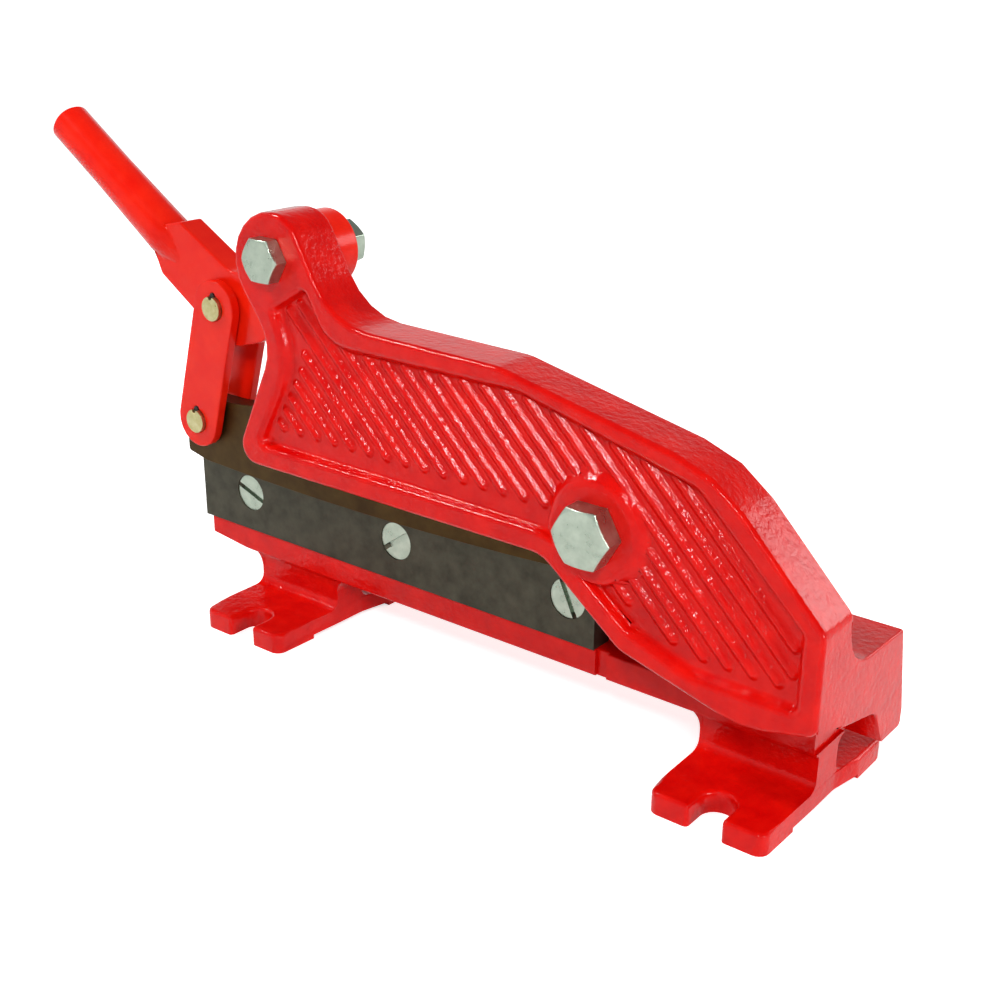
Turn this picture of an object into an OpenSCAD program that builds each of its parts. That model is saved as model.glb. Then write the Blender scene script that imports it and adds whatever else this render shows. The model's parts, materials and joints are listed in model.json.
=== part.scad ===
// Bench lever shear for sheet metal: a ribbed cast arm over a bed, two blades, a lever and two links.
// The floor is z = 0, x runs along the blades and y runs from front to back.

/* [Blades] */
// Length of the lower blade
blade_length = 250; // [240:1:260]
// Height of the lower blade
lower_blade_height = 34; // [31:1:37]
// Thickness of the lower blade
lower_blade_thickness = 12; // [10:0.5:14]
// Thickness of the upper blade
upper_blade_thickness = 10; // [8:0.5:12]
// Height of the upper blade above the shear line at its left end
upper_blade_rise = 37.5; // [35:0.5:41]
// Sideways gap between the two cutting edges
shear_gap = 0.15; // [0.1:0.05:0.5]
// How far the upper edge passes the lower edge at rest
edge_overlap = 2.3; // [1:0.1:4]
// Radius of the bowed cutting edge
edge_bow_radius = 2050; // [1600:50:3000]
// Height of the bevel under the upper blade
bevel_height = 3.2; // [1:0.1:5]
// Radius of the upper blade's eye
blade_eye_radius = 24; // [21:0.5:26]

/* [Arm] */
// Thickness of the arm
arm_thickness = 24; // [20:0.5:28]
// Clear height between the shear line and the arm
throat_height = 21.5; // [19:0.5:24]
// Height of the arm's flat part
arm_height = 76.5; // [72:0.5:80]
// Radius of the round head at the lever bolt
arm_head_radius = 20; // [18:0.5:22]
// Width of the rim round the pocket
pocket_margin = 6; // [5:0.25:7.5]
// Depth of the pocket
pocket_depth = 5; // [3.5:0.25:7]
// Width of the pocket's wall between the rim and the floor
pocket_wall = 4.75; // [3.5:0.25:5.5]
// Radius of the pivot boss
pivot_boss_radius = 20; // [18:0.5:22]
// Distance from rib to rib
rib_pitch = 7.55; // [6.5:0.05:9]
// Width of a rib
rib_width = 4.4; // [3:0.1:5]

/* [Bed] */
// Height of the strip under the lower blade
strip_height = 12.7; // [9.7:0.5:15.7]
// Depth of the bed's top
bed_depth = 29; // [26:0.5:33]
// Spread of the bed's back from top to foot
bed_spread = 9.5; // [6:0.5:12]
// Radius of the valley between the arm and the bed
valley_radius = 20; // [15:0.5:22]

/* [Feet] */
// Distance between the two feet
foot_spacing = 264.5; // [255:0.5:275]
// Width of a foot at its tips
foot_width = 52.5; // [49:0.5:55]
// Depth of a foot from front to back
foot_depth = 100; // [92:1:108]
// Thickness of a foot
foot_thickness = 10; // [8:0.5:12]
// Width of a bench bolt slot
slot_width = 15; // [12:0.5:17]
// Depth of a bench bolt slot
slot_depth = 18; // [15:0.5:20]
// Height of the web over a foot
web_height = 16.8; // [13.8:0.5:21.8]
// Width of the web
web_width = 54; // [50:0.5:54]
// Thickness of the web
web_thickness = 17.5; // [14:0.5:20]

/* [Linkage] */
// Thickness of the lever plate
lever_thickness = 14; // [12:0.5:16]
// Radius of the lever's hub
lever_hub_radius = 17.5; // [16:0.25:19]
// Angle of the handle stub above the bench
stub_angle = 34; // [28:1:40]
// Length of the handle stub
stub_length = 88.5; // [75:0.5:110]
// Diameter of the handle stub at its tip
stub_tip_diameter = 20.6; // [19:0.2:22]
// Diameter of the handle stub at its root
stub_root_diameter = 22.6; // [21:0.2:25]
// Width of a link
link_width = 27; // [24:0.5:29]
// Thickness of a link
link_thickness = 5; // [3:0.25:6]
// Diameter of a link pin
pin_diameter = 12; // [10:0.25:13.5]
// Diameter of a pin key
key_diameter = 3; // [2.5:0.25:3.5]
// Play of the lower pin along the blade's slot
slot_play = 3.2; // [3.2:0.1:4]
// Play of the lower pin across the blade's slot
slot_lift = 0.4; // [0.4:0.05:1]

/* [Fasteners] */
// Diameter of the pivot bolt
pivot_bolt_diameter = 16; // [14:0.5:18]
// Width across the flats of the pivot bolt
pivot_flats = 24; // [22:0.5:27]
// Height of the pivot bolt's head
pivot_head_height = 10; // [8:0.5:12]
// Diameter of the lever bolt
lever_bolt_diameter = 12; // [10:0.5:14]
// Width across the flats of the lever bolt
lever_flats = 19; // [18:0.5:21]
// Height of the lever bolt's head
lever_head_height = 7.5; // [6:0.5:9]
// Diameter of a blade screw
screw_diameter = 10; // [8:0.5:11]
// Diameter of a blade screw's head
screw_head_diameter = 18.5; // [17:0.5:20]
// Distance between the blade screws
screw_spacing = 100; // [90:1:104]

/* [Hidden] */
$fn = 64;
red_paint = [0.80, 0.05, 0.03];
bare_steel = [0.30, 0.30, 0.28];
tinted_steel = [0.34, 0.29, 0.16];
zinc = [0.78, 0.80, 0.81];
yellow_zinc = [0.74, 0.66, 0.33];
overlap = 1;
running_gap = 0.05;
side_gap = 0.4;
link_gap = 1;
arm_gap = 0.5;
arc_step = 18;

// Heights
foot_top = foot_thickness;
bar_bottom = foot_top + web_height;
ledge_z = bar_bottom + strip_height;
edge_z = ledge_z + lower_blade_height;
bed_top = edge_z - 1.5;
arm_bottom = edge_z + throat_height;
arm_top = arm_bottom + arm_height;
screw_z = ledge_z + 0.6 * lower_blade_height;

// Layers from front to back, with the seat of the lower blade at y = 0
shear_y = -lower_blade_thickness;
strip_front = shear_y + 0.8;
blade_rear = shear_y - shear_gap;
blade_front = blade_rear - upper_blade_thickness;
arm_rear = blade_front - arm_gap;
arm_front = arm_rear - arm_thickness;
pocket_floor = arm_front + pocket_depth;
lever_rear = blade_front + lever_thickness;
lever_middle = blade_front + lever_thickness / 2;
front_link_rear = blade_front - link_gap;
front_link_front = front_link_rear - link_thickness;
rear_link_front = lever_rear + side_gap;
rear_link_rear = rear_link_front + link_thickness;

// Places along the blades
blade_right = 52.5;
blade_left = blade_right - blade_length;
bar_left = blade_left + 3.5;
bar_right = 158;
seat_right = 100;
heel_left = 103;
arm_right = 173;
middle_screw_x = -62.1;

// Pivots, as x and z
pivot = [72.8, edge_z + 38.2];
lever_pivot = [-102, edge_z + 121.5];
lower_pin = [blade_left + 17, edge_z + 25.9];
upper_pin = lower_pin + [17.5, 60.3];

// Bushes, pins and holes
pivot_bush_radius = pivot_bolt_diameter / 2 + 3.5;
lever_bush_radius = lever_bolt_diameter / 2 + 3;
pin_radius = pin_diameter / 2;
key_radius = key_diameter / 2;
pin_end = 2;
collar_radius = pin_radius + 3.5;
clip_thickness = 1.2;
clip_radius = pin_radius + 2;
clip_seat_radius = pin_radius - 1;
washer_thickness = 2.5;
bolt_end = 1.5;
pivot_nut_height = 13;
lever_nut_height = 10;

// Arm corners, as x, z and radius, going round against the clock from the lower left
head_top = lever_pivot + [0, arm_head_radius];
arm_corners = [
    [lever_pivot.x - 31.1, arm_bottom, 9],
    [pivot.x - 25.1, arm_bottom, 15],
    [pivot.x + 13.7, bar_bottom + 37.7, 12],
    [arm_right - 30.3, bar_bottom + 22.7, 40],
    [arm_right, bar_bottom + 29.7, 5],
    [arm_right, arm_bottom + 3.2, 6],
    [arm_right - 48.5, arm_top - 23.4, 60],
    [pivot.x - 48.5, arm_top - 1.9, 20],
    [lever_pivot.x + 35.8, arm_top, 35],
    [lever_pivot.x + 11.8, head_top.y + 0.3, arm_head_radius - 4],
    [lever_pivot.x - 46.4, head_top.y + 0.3, arm_head_radius + 3.5],
    [lever_pivot.x - 2.3, arm_bottom + 60.6, 22]
];

// Pocket corners, one rim width inside the arm, with a straight end wall below the lever bolt
pocket_bottom = arm_bottom + 1.5 + pocket_margin;
pocket_top = arm_top - 0.8 - pocket_margin;
pocket_right = arm_right - pocket_margin;
pocket_corners = [
    [lever_pivot.x - 22.7 + 0.6 * pocket_margin, pocket_bottom, 6],
    [pivot.x - 23, pocket_bottom, 21],
    [pivot.x + 17.4, bar_bottom + 37.9 + pocket_margin, 18],
    [arm_right - 55, bar_bottom + 28 + pocket_margin, 10],
    [pocket_right, bar_bottom + 28 + pocket_margin, 6],
    [pocket_right, arm_bottom + 2, 6],
    [arm_right - 54, arm_top - 28.2, 14],
    [pivot.x - 38.3, pocket_top - 0.3, 9],
    [lever_pivot.x + 34.5, pocket_top, 16],
    [lever_pivot.x + 20.5, lever_pivot.y - 6.7, 6],
    [lever_pivot.x - 5.2, lever_pivot.y - 22, 6],
    [lever_pivot.x + pocket_margin, arm_bottom + 55.8, 31]
];

// Zone where the rib ends lie, as x and z
rib_zone = [
    [lever_pivot.x - 4, arm_bottom + 21],
    [pivot.x - 12, arm_bottom + 21],
    [pivot.x + 12, bar_bottom + 60.7],
    [pivot.x + 24, bar_bottom + 52.2],
    [arm_right - 55, bar_bottom + 45.2],
    [arm_right - 13, bar_bottom + 45.2],
    [arm_right - 13, arm_bottom + 1],
    [arm_right - 55.5, arm_top - 32.5],
    [pivot.x - 39.5, arm_top - 12.5],
    [lever_pivot.x + 38, arm_top - 12.5],
    [lever_pivot.x + 20, lever_pivot.y - 14.5],
    [lever_pivot.x + 5, lever_pivot.y - 23.5],
    [lever_pivot.x + 16.5, arm_bottom + 55.8]
];
rib_count = 23;
first_rib_sum = lever_pivot.x + arm_bottom + 20;
rib_step = rib_pitch * sqrt(2);
rib_radius = rib_width / 2;

// A direction of length one
function unit(v) = v / norm(v);

// The next or previous item of a closed list
function turn(list, i) = list[(i + len(list)) % len(list)];

// The points that round one corner of an outline
function corner(before, here, after, radius) =
    let (
        a = unit(before - here),
        b = unit(after - here),
        half = acos(a * b) / 2,
        centre = here + unit(a + b) * radius / sin(half),
        first = here + a * radius / tan(half) - centre,
        last = here + b * radius / tan(half) - centre,
        start = atan2(first.y, first.x),
        sweep = (atan2(last.y, last.x) - start + 540) % 360 - 180,
        steps = ceil(abs(sweep) / arc_step)
    )
    [for (i = [0 : steps]) centre + radius * [cos(start + sweep * i / steps), sin(start + sweep * i / steps)]];

// An outline with every corner rounded by its own radius
function rounded(corners) = [
    for (i = [0 : len(corners) - 1])
        let (
            here = corners[i],
            before = turn(corners, i - 1),
            after = turn(corners, i + 1),
            place = [here.x, here.y]
        )
        each here.z > 0
            ? corner([before.x, before.y], place, [after.x, after.y], here.z)
            : [place]
];

// An outline moved inwards by a distance
function inset(points, distance) = [
    for (i = [0 : len(points) - 1])
        let (
            d1 = unit(points[i] - turn(points, i - 1)),
            d2 = unit(turn(points, i + 1) - points[i]),
            n1 = [-d1.y, d1.x],
            n2 = [-d2.y, d2.x],
            middle = unit(n1 + n2)
        )
        points[i] + middle * distance / (middle * n1)
];

// Cylinder from front to back at a place given as x and z
module rod(place, front, rear, radius) {
    translate([place.x, rear, place.y])
        rotate([90, 0, 0])
            cylinder(h = rear - front, r = radius);
}

// Six-sided rod from front to back, turned by an angle
module hex_rod(place, front, rear, flats, lean = 0) {
    translate([place.x, rear, place.y])
        rotate([90, 0, 0])
            rotate([0, 0, lean])
                cylinder(h = rear - front, d = flats / cos(30), $fn = 6);
}

// Plate from front to back with an outline given as x and z
module plate(outline, front, rear) {
    translate([0, rear, 0])
        rotate([90, 0, 0])
            linear_extrude(rear - front)
                polygon(outline);
}

// Bar along x with a section given as y and z
module bar(section, left, right) {
    translate([left, 0, 0])
        rotate([90, 0, 90])
            linear_extrude(right - left)
                polygon(section);
}

// Arm with a pocket, and the pivot boss left standing in the pocket
module arm() {
    difference() {
        plate(rounded(arm_corners), arm_front, arm_rear);
        difference() {
            plate(inset(rounded(pocket_corners), pocket_wall / 2), arm_front - overlap, pocket_floor);
            rod(pivot, arm_front - 2 * overlap, pocket_floor + overlap, pivot_boss_radius + pocket_wall / 2);
        }
    }
}

// Places along a rib's line where it crosses the edge of the rib zone
function crossings(sum) = [
    for (i = [0 : len(rib_zone) - 1])
        let (
            a = rib_zone[i],
            b = turn(rib_zone, i + 1),
            sum_a = a.x + a.y,
            sum_b = b.x + b.y
        )
        if ((sum_a < sum) != (sum_b < sum)) a.x + (b.x - a.x) * (sum - sum_a) / (sum_b - sum_a)
];

// One rib with round ends, lying half in the pocket's floor
module rib(left_x, right_x, sum) {
    length = (right_x - left_x) * sqrt(2);
    middle_x = (left_x + right_x) / 2;
    translate([middle_x, pocket_floor + 0.1, sum - middle_x])
        rotate([0, 135, 0])
            rotate([0, 0, 90])
                rotate_extrude()
                    intersection() {
                        union() {
                            square([rib_width, length], center = true);
                            translate([0, length / 2])
                                circle(r = rib_radius);
                            translate([0, -length / 2])
                                circle(r = rib_radius);
                        }
                        translate([0, -length])
                            square([rib_width, 2 * length]);
                    }
}

module ribs() {
    for (k = [0 : rib_count - 1]) {
        sum = first_rib_sum + k * rib_step;
        ends = crossings(sum);
        if (len(ends) >= 2)
            if (max(ends) - min(ends) > rib_width)
                rib(min(ends), max(ends), sum);
    }
}

// Section of the bed, as y and z
bed_section = rounded([
    [strip_front, bar_bottom, 1],
    [19, bar_bottom, 1],
    [19.6, bar_bottom - 2, 1],
    [bed_depth + bed_spread - 1.5, bar_bottom - 2, 2],
    [bed_depth + bed_spread, bar_bottom + 5.5, 4],
    [bed_depth, bed_top, 4],
    [0, bed_top, 0],
    [0, ledge_z, 0],
    [strip_front, ledge_z, 0]
]);

// Section of the heel that joins the arm to the bed, as y and z
heel_top = bed_top + 1.2;
heel_section = concat(
    rounded([
        [arm_rear - overlap, bar_bottom + 23.8, 0],
        [10, bar_bottom + 15.5, 10],
        [19, bar_bottom - 1.7, 1],
        [bed_depth + bed_spread - 1.5, bar_bottom - 2, 2],
        [bed_depth + bed_spread, bar_bottom + 5.5, 4],
        [bed_depth, heel_top, 2]
    ]),
    [for (a = [270 : -15 : 195]) [
        arm_rear + valley_radius + valley_radius * cos(a),
        heel_top + valley_radius + valley_radius * sin(a)
    ]],
    [[arm_rear - overlap, heel_top + valley_radius + 2]]
);

// Section of the slope under the arm's right end, as y and z
slope_section = [
    [arm_front + 2.5, bar_bottom + 31],
    [arm_rear, bar_bottom + 24.2],
    [arm_rear, bar_bottom + 36],
    [arm_front + 2.5, bar_bottom + 36]
];

module bed() {
    difference() {
        union() {
            bar(bed_section, bar_left, bar_right);
            translate([seat_right, strip_front, ledge_z - overlap])
                cube([bar_right - seat_right, overlap - strip_front, bed_top - ledge_z + overlap]);
        }
        // Rising underside at the left end
        plate([
            [bar_left - overlap, bar_bottom - 4],
            [bar_left + 31, bar_bottom - 4],
            [bar_left + 31, bar_bottom],
            [bar_left - overlap, bar_bottom + 3.6]
        ], strip_front - overlap, bed_depth + bed_spread + overlap);
        // Shallow groove in the strip beside the lower blade
        translate([blade_right + 0.5, strip_front - overlap, bar_bottom - overlap])
            cube([6, overlap + 2, strip_height + 2 * overlap]);
    }
}

// Foot seen from above, without its bolt slots
half_foot = foot_width / 2;
half_root = foot_width / 2 + 0.8;
ear_flare = 3.8;
ear_extra = 2.5;
half_depth = foot_depth / 2;
slot_end = half_depth - slot_depth;
foot_corners = [
    [-half_foot, -half_depth, 5],
    [half_foot, -half_depth, 5],
    [half_root, -web_thickness / 2, 20],
    [half_root, web_thickness / 2, 12],
    [half_foot + ear_flare, 25, 12],
    [half_foot + ear_flare, half_depth + ear_extra, 8],
    [-half_foot - ear_flare, half_depth + ear_extra, 8],
    [-half_foot - ear_flare, 25, 12],
    [-half_root, web_thickness / 2, 12],
    [-half_root, -web_thickness / 2, 20]
];
relief_height = 2;
web_fillet = 5;

// Section of the web, as y and z, with fillets where it meets the foot and the bed
half_web = web_thickness / 2;
web_lip = -strip_front - 0.2 - half_web;
web_section = concat(
    [for (a = [0 : 22.5 : 90]) [half_web + web_fillet * (1 - sin(a)), foot_top + web_fillet * (1 - cos(a))]],
    [for (a = [90 : -22.5 : 0]) [half_web + web_fillet * (1 - sin(a)), bar_bottom - web_fillet * (1 - cos(a))]],
    [[half_web + web_fillet, bar_bottom + overlap], [-half_web - web_lip, bar_bottom + overlap]],
    [for (a = [0 : 22.5 : 90]) [-half_web - web_lip * (1 - sin(a)), bar_bottom - web_lip * (1 - cos(a))]],
    [for (a = [90 : -22.5 : 0]) [-half_web - web_fillet * (1 - sin(a)), foot_top + web_fillet * (1 - cos(a))]],
    [[-half_web - web_fillet, foot_top - overlap], [half_web + web_fillet, foot_top - overlap]]
);

// Foot with an open bolt slot at each end and a shallow relief under its middle
module foot(x) {
    translate([x, 0, 0]) {
        difference() {
            linear_extrude(foot_thickness)
                polygon(rounded(foot_corners));
            for (side = [-1, 1]) {
                translate([0, side * (slot_end + slot_width / 2), -overlap])
                    cylinder(h = foot_thickness + 2 * overlap, d = slot_width);
                translate([-slot_width / 2, side * (slot_end + half_depth) / 2 + side * slot_width / 2 - slot_depth / 2, -overlap])
                    cube([slot_width, slot_depth, foot_thickness + 2 * overlap]);
            }
            translate([-foot_width, overlap + 5 - slot_end, -overlap])
                cube([2 * foot_width, 2 * (slot_end - overlap - 5), overlap + relief_height]);
        }
        bar(web_section, -web_width / 2, web_width / 2);
    }
}

screw_places = [for (i = [-1 : 1]) [middle_screw_x + i * screw_spacing, screw_z]];
screw_length = 30;
screw_sink = 0.6;
screw_head_height = (screw_head_diameter - screw_diameter) / 2;

// Casting with the arm, the heel, the bed and the feet
module frame() {
    color(red_paint)
        difference() {
            union() {
                arm();
                ribs();
                bar(heel_section, heel_left, arm_right);
                bar(slope_section, arm_right - 30, arm_right);
                bed();
                foot(-foot_spacing / 2);
                foot(foot_spacing / 2);
            }
            rod(pivot, arm_front - overlap, arm_rear + overlap, pivot_bolt_diameter / 2 + running_gap);
            rod(lever_pivot, arm_front - overlap, arm_rear + overlap, lever_bolt_diameter / 2 + running_gap);
            for (place = screw_places)
                rod(place, -overlap, screw_length - lower_blade_thickness + 2, screw_diameter / 2 + running_gap);
        }
}

// Cone of a sunk screw head, widest at the front
module screw_cone(place, front, grow) {
    translate([place.x, front + screw_head_height, place.y])
        rotate([90, 0, 0])
            cylinder(h = screw_head_height, r1 = screw_diameter / 2 + grow, r2 = screw_head_diameter / 2 + grow);
}

module lower_blade() {
    color(bare_steel)
        difference() {
            translate([blade_left, shear_y, ledge_z])
                cube([blade_length, lower_blade_thickness, lower_blade_height]);
            for (place = screw_places) {
                rod(place, shear_y - overlap, overlap, screw_diameter / 2 + running_gap);
                screw_cone(place, shear_y + screw_sink, running_gap);
                rod(place, shear_y - overlap, shear_y + screw_sink, screw_head_diameter / 2 + running_gap);
            }
        }
}

// Sunk screw with a straight slot that leans by a given angle
module blade_screw(place, lean) {
    color(zinc)
        difference() {
            union() {
                screw_cone(place, shear_y + screw_sink, 0);
                rod(place, shear_y + screw_sink + overlap, shear_y + screw_length, screw_diameter / 2);
            }
            translate([place.x, shear_y + screw_sink, place.y])
                rotate([0, lean, 0])
                    cube([2 * screw_head_diameter, 4.4, 2.4], center = true);
        }
}

module left_screw() {
    blade_screw(screw_places[0], 20);
}

module middle_screw() {
    blade_screw(screw_places[1], -35);
}

module right_screw() {
    blade_screw(screw_places[2], 65);
}

// Upper blade with a bowed, bevelled edge, an eye at the pivot and a slot for the lower pin
module upper_blade() {
    bow_x = blade_left + 100;
    bow_z = edge_z - edge_overlap + bevel_height + edge_bow_radius;
    blade_end = blade_left + 2;
    slot_lean = 24;
    slot_reach = slot_play - slot_lift;
    slot_half = pin_radius + slot_lift - 0.05;
    color(tinted_steel)
        difference() {
            union() {
                intersection() {
                    plate(rounded([
                        [blade_end + 30, ledge_z, 0],
                        [pivot.x - 13, ledge_z, 0],
                        [pivot.x + blade_eye_radius * 0.5, pivot.y - blade_eye_radius * 0.5, 0],
                        [pivot.x, pivot.y, 0],
                        [pivot.x, pivot.y + blade_eye_radius - 1, 0],
                        [lower_pin.x + 20.5, edge_z + upper_blade_rise, 0],
                        [blade_end, edge_z + upper_blade_rise, 6],
                        [blade_end, edge_z + 5.5, 2],
                        [blade_end + 30, edge_z - 1, 0]
                    ]), blade_front, blade_rear);
                    translate([bow_x, blade_rear, bow_z])
                        rotate([90, 0, 0])
                            cylinder(
                                h = upper_blade_thickness,
                                r1 = edge_bow_radius + bevel_height,
                                r2 = edge_bow_radius,
                                $fn = 360
                            );
                }
                rod(pivot, blade_front, blade_rear, blade_eye_radius);
            }
            rod(pivot, blade_front - overlap, blade_rear + overlap, pivot_bush_radius + running_gap);
            for (side = [-1, 1])
                rod(lower_pin + side * slot_reach * [cos(slot_lean), sin(slot_lean)], blade_front - overlap,
                    blade_rear + overlap, pin_radius + slot_lift);
            translate([lower_pin.x, blade_front - overlap, lower_pin.y])
                rotate([0, -slot_lean, 0])
                    translate([-slot_reach, 0, -slot_half])
                        cube([2 * slot_reach, upper_blade_thickness + 2 * overlap, 2 * slot_half]);
        }
}

// Hex bolt with a chamfered head, a flat round face and a plain shank
module hex_bolt(place, diameter, flats, head_height, end_y) {
    color(zinc) {
        intersection() {
            hex_rod(place, arm_front - head_height, arm_front, flats);
            translate([place.x, arm_front, place.y])
                rotate([90, 0, 0])
                    cylinder(h = head_height, r1 = flats / 2 + 1.8 * head_height, r2 = flats * 0.47);
        }
        rod(place, arm_front - overlap, end_y, diameter / 2);
    }
}

module hex_nut(place, diameter, flats, front, rear, lean) {
    color(zinc)
        difference() {
            intersection() {
                hex_rod(place, front, rear, flats, lean);
                translate([place.x, rear, place.y])
                    rotate([90, 0, 0])
                        cylinder(h = rear - front, r1 = flats * 0.47, r2 = flats * 0.47 + 2 * (rear - front));
            }
            rod(place, front - overlap, rear + overlap, diameter / 2 + 0.02);
        }
}

module washer(place, diameter, radius, front) {
    color(zinc)
        difference() {
            rod(place, front, front + washer_thickness, radius);
            rod(place, front - overlap, front + washer_thickness + overlap, diameter / 2 + running_gap);
        }
}

// Distance bush that lets a plate turn between the arm and a washer
module bush(place, diameter, radius, rear) {
    color(zinc)
        difference() {
            rod(place, arm_rear, rear, radius);
            rod(place, arm_rear - overlap, rear + overlap, diameter / 2 + running_gap);
        }
}

pivot_washer_y = blade_rear + side_gap;
lever_washer_y = lever_rear + side_gap;
pivot_nut_y = pivot_washer_y + washer_thickness;
lever_nut_y = lever_washer_y + washer_thickness;

module pivot_bolt() {
    hex_bolt(pivot, pivot_bolt_diameter, pivot_flats, pivot_head_height, pivot_nut_y + pivot_nut_height + bolt_end);
}

module pivot_bush() {
    bush(pivot, pivot_bolt_diameter, pivot_bush_radius, pivot_washer_y);
}

module pivot_washer() {
    washer(pivot, pivot_bolt_diameter, pivot_flats * 0.62, pivot_washer_y);
}

module pivot_nut() {
    hex_nut(pivot, pivot_bolt_diameter, pivot_flats, pivot_nut_y, pivot_nut_y + pivot_nut_height, 10);
}

module lever_bolt() {
    hex_bolt(lever_pivot, lever_bolt_diameter, lever_flats, lever_head_height, lever_nut_y + lever_nut_height + bolt_end);
}

module lever_bush() {
    bush(lever_pivot, lever_bolt_diameter, lever_bush_radius, lever_washer_y);
}

module lever_washer() {
    washer(lever_pivot, lever_bolt_diameter, lever_flats * 0.63, lever_washer_y);
}

module lever_nut() {
    hex_nut(lever_pivot, lever_bolt_diameter, lever_flats, lever_nut_y, lever_nut_y + lever_nut_height, 25);
}

// Lever plate with a hub, an eye for the upper pin and a round stub for a pipe handle
module lever() {
    stub_root = upper_pin + [-43.9, 27.9];
    stub_grip = 40;
    stub_runout = 36;
    color(red_paint)
        difference() {
            union() {
                plate(rounded([
                    [upper_pin.x - 27.5, upper_pin.y + 37.3, 2],
                    [upper_pin.x - 44, upper_pin.y + 33.5, 0],
                    [upper_pin.x - 47.5, upper_pin.y + 20.9, 3],
                    [upper_pin.x - 44.2, upper_pin.y + 9.8, 4],
                    [upper_pin.x - 16, upper_pin.y - 8.8, 30],
                    [upper_pin.x + 6, upper_pin.y - 19.5, 12],
                    [upper_pin.x + 27, upper_pin.y - 13.7, 30],
                    [lever_pivot.x + lever_hub_radius * 0.4, lever_pivot.y - lever_hub_radius * 0.9, 0],
                    [lever_pivot.x - lever_hub_radius * 0.6, lever_pivot.y + lever_hub_radius * 0.8, 0],
                    [upper_pin.x + 11, upper_pin.y + 15.3, 12]
                ]), blade_front, lever_rear);
                rod(lever_pivot, blade_front, lever_rear, lever_hub_radius);
                translate([stub_root.x, lever_middle, stub_root.y])
                    rotate([0, stub_angle - 90, 0]) {
                        translate([0, 0, stub_length - stub_grip])
                            cylinder(h = stub_grip - 1.5, d = stub_tip_diameter);
                        translate([0, 0, stub_length - 1.5])
                            cylinder(h = 1.5, d1 = stub_tip_diameter, d2 = stub_tip_diameter - 3);
                        cylinder(h = stub_length - stub_grip, d1 = stub_root_diameter, d2 = stub_tip_diameter);
                        translate([0, 0, -stub_runout])
                            cylinder(h = stub_runout, d1 = 6, d2 = stub_root_diameter);
                    }
            }
            rod(lever_pivot, blade_front - overlap, lever_rear + overlap, lever_bush_radius + running_gap);
            rod(upper_pin, blade_front - overlap, lever_rear + overlap, pin_radius + running_gap);
        }
}

// Flat link with round ends, and key notches when it is keyed to its pins
module link(front, rear, keyed) {
    reach = unit(upper_pin - lower_pin);
    across = [reach.y, -reach.x] * link_width / 2;
    color(red_paint)
        difference() {
            union() {
                plate([upper_pin + across, upper_pin - across, lower_pin - across, lower_pin + across], front, rear);
                rod(upper_pin, front, rear, link_width / 2);
                rod(lower_pin, front, rear, link_width / 2);
            }
            for (place = [upper_pin, lower_pin]) {
                rod(place, front - overlap, rear + overlap, pin_radius + 0.02);
                if (keyed)
                    rod(place + [0, pin_radius], front - overlap, rear + overlap, key_radius + 0.02);
            }
        }
}

module front_link() {
    link(front_link_front, front_link_rear, true);
}

module rear_link() {
    link(rear_link_front, rear_link_rear, false);
}

// Pin that turns with the links, with a key seat in front and a clip groove behind
module link_pin(place) {
    color(yellow_zinc)
        difference() {
            rod(place, front_link_front - pin_end, rear_link_rear + 3 * clip_thickness, pin_radius);
            rod(place + [0, pin_radius], front_link_front - pin_end - overlap, front_link_rear, key_radius + 0.02);
            difference() {
                rod(place, rear_link_rear + 0.1, rear_link_rear + 0.1 + clip_thickness, pin_radius + overlap);
                rod(place, rear_link_rear, rear_link_rear + 1 + clip_thickness, clip_seat_radius);
            }
        }
}

module upper_pin() {
    link_pin(upper_pin);
}

module lower_pin() {
    link_pin(lower_pin);
}

// Round key between a pin and the front link
module pin_key(place) {
    color(bare_steel)
        rod(place + [0, pin_radius], front_link_front - 0.4, front_link_rear, key_radius);
}

module upper_key() {
    pin_key(upper_pin);
}

module lower_key() {
    pin_key(lower_pin);
}

// Distance collar on the lower pin, between the upper blade and the rear link
module lower_collar() {
    color(zinc)
        difference() {
            rod(lower_pin, blade_rear + side_gap, rear_link_front, collar_radius);
            rod(lower_pin, blade_rear, rear_link_front + overlap, pin_radius + 0.02);
        }
}

// Open spring clip in a pin's groove
module pin_clip(place) {
    front = rear_link_rear + 0.1;
    color(bare_steel)
        difference() {
            rod(place, front + 0.02, front + clip_thickness - 0.02, clip_radius);
            rod(place, front - overlap, front + clip_thickness + overlap, clip_seat_radius + 0.02);
            translate([place.x, front - overlap, place.y - clip_radius / 3])
                cube([2 * clip_radius, clip_thickness + 2 * overlap, 2 * clip_radius / 3]);
        }
}

module upper_clip() {
    pin_clip(upper_pin);
}

module lower_clip() {
    pin_clip(lower_pin);
}

frame();
lower_blade();
left_screw();
middle_screw();
right_screw();
upper_blade();
pivot_bolt();
pivot_bush();
pivot_washer();
pivot_nut();
lever();
lever_bolt();
lever_bush();
lever_washer();
lever_nut();
front_link();
rear_link();
upper_pin();
lower_pin();
upper_key();
lower_key();
lower_collar();
upper_clip();
lower_clip();
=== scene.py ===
# %% [markdown]
# # A bench lever shear
# This lesson dresses the solids of a hand shear for sheet metal: a red casting with a ribbed arm, two blades,
# a lever with a short stub for a pipe handle, and a pair of links. The solids already have their real size
# and place, so nothing here is moved. The work is soft cast edges, paint, plated steel, light and a camera.

# %% Load the solids
import json
import math

import bmesh
import bpy
from mathutils import Matrix, Vector


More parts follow.
